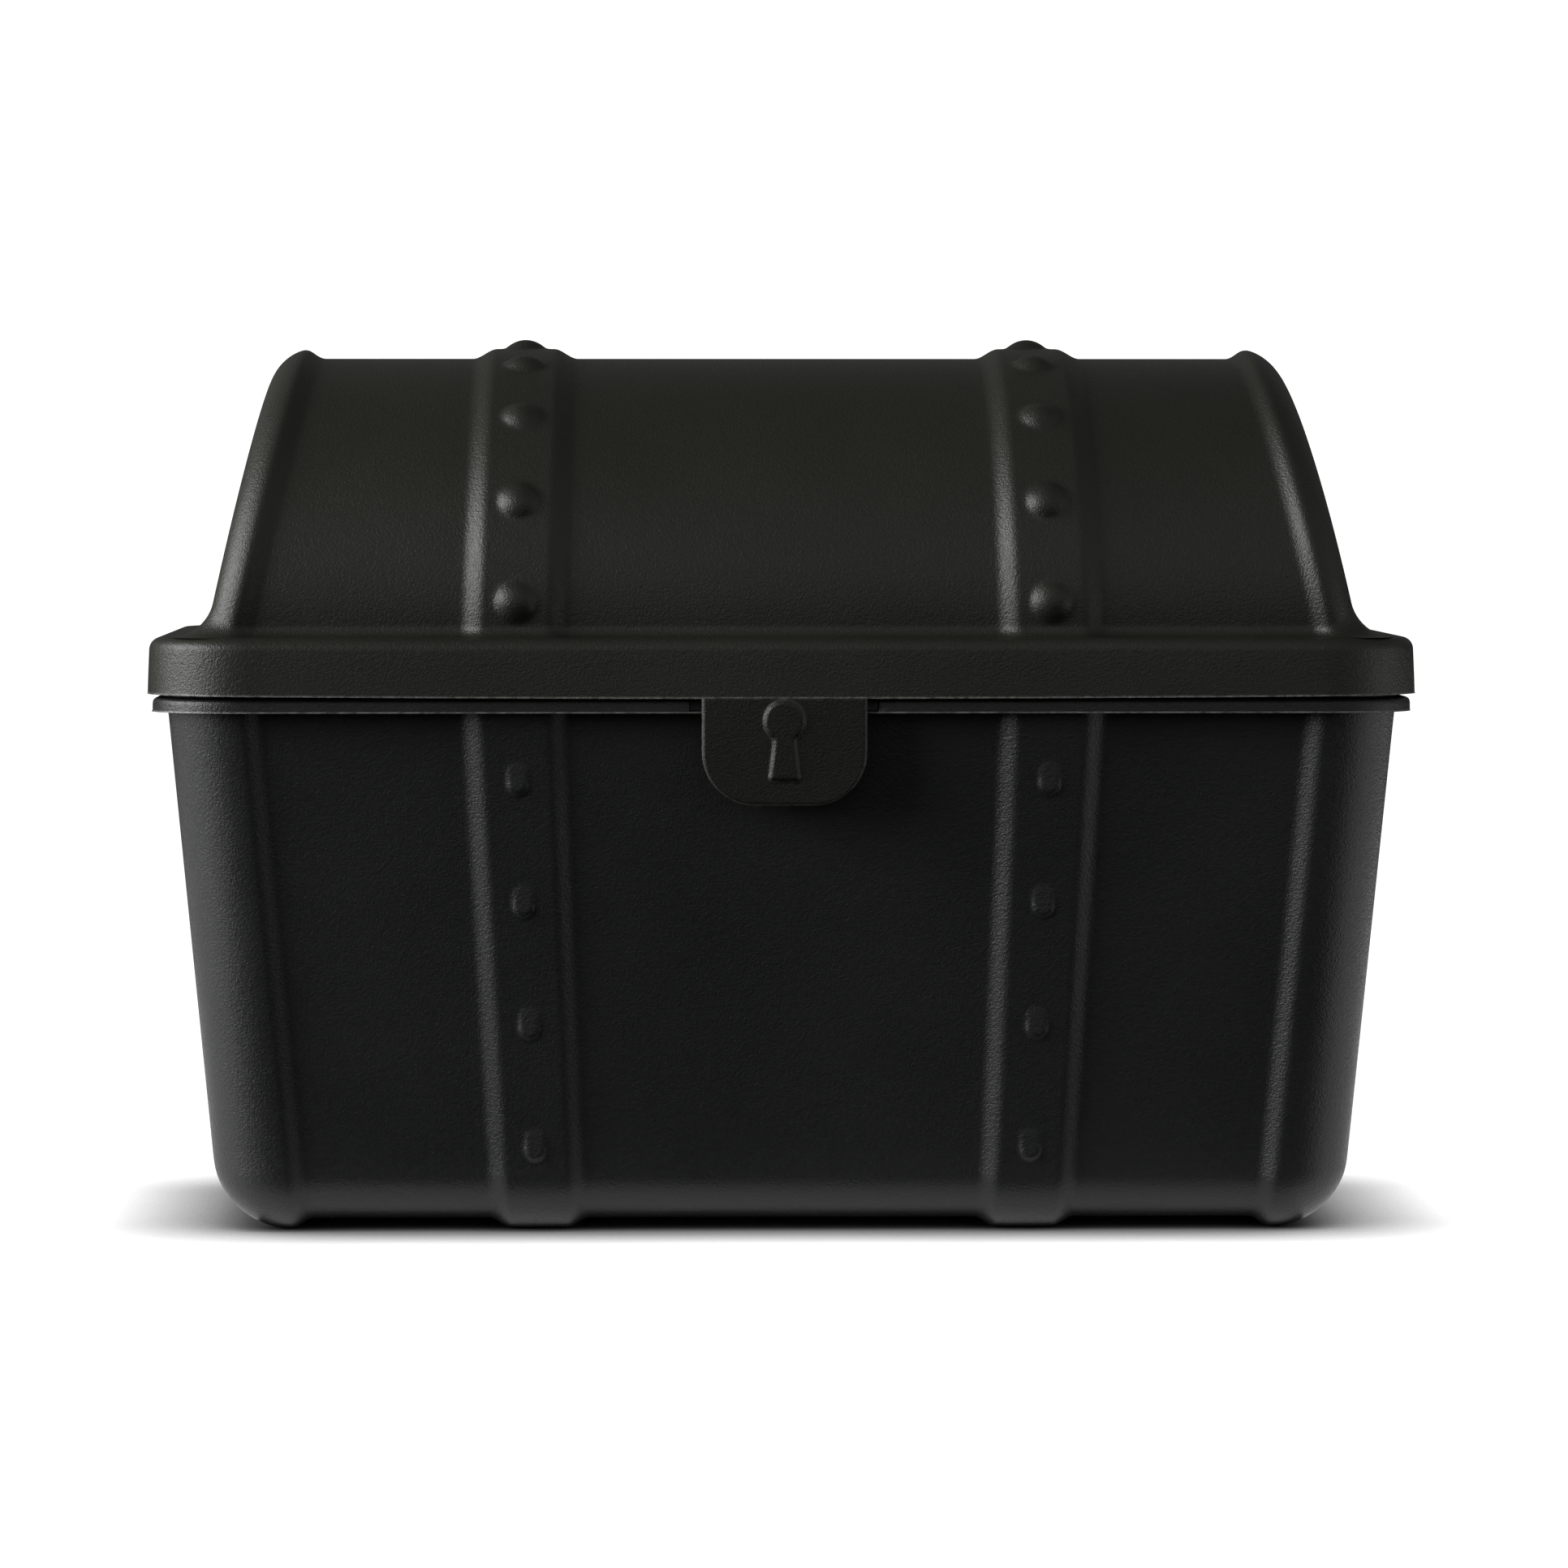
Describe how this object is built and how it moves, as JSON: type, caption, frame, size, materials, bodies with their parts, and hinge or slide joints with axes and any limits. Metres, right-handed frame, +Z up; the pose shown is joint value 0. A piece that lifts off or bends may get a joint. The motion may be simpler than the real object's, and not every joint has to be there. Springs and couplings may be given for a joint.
{
  "type": "domed storage box",
  "caption": "Small chest-shaped plastic storage box with a domed hinged lid, raised straps with rivet heads and a keyhole tab over the rim at the front.",
  "frame": {"origin": "on the floor under the feet, at the middle of the whole box's width and depth", "axes": "+X along the width to the viewer's right of the front, +Y from the front to the back, +Z up"},
  "size_m": [0.2982, 0.1794, 0.2103],
  "materials": {
    "tub_plastic": "fine moulded grain, semi-matte black",
    "lid_plastic": "fine moulded grain, semi-matte black",
    "pin_steel": "drawn wire"
  },
  "bodies": {
    "base": {"base_tub": "tub_plastic", "hinge_pin_left": "pin_steel", "hinge_pin_right": "pin_steel"},
    "lid": {"lid": "lid_plastic"},
    "tab": {"lock_tab": "lid_plastic"}
  },
  "joints": [
    {"name": "lid_hinge", "type": "hinge", "parent": "base", "child": "lid", "pos_m": [0, 0.0859, 0.126], "axis": [-1, 0, 0], "range_deg": [0, 105]},
    {"name": "tab_hinge", "type": "hinge", "parent": "lid", "child": "tab", "pos_m": [0, -0.0883, 0.126], "axis": [-1, 0, 0], "range_deg": [0, 90]}
  ]
}
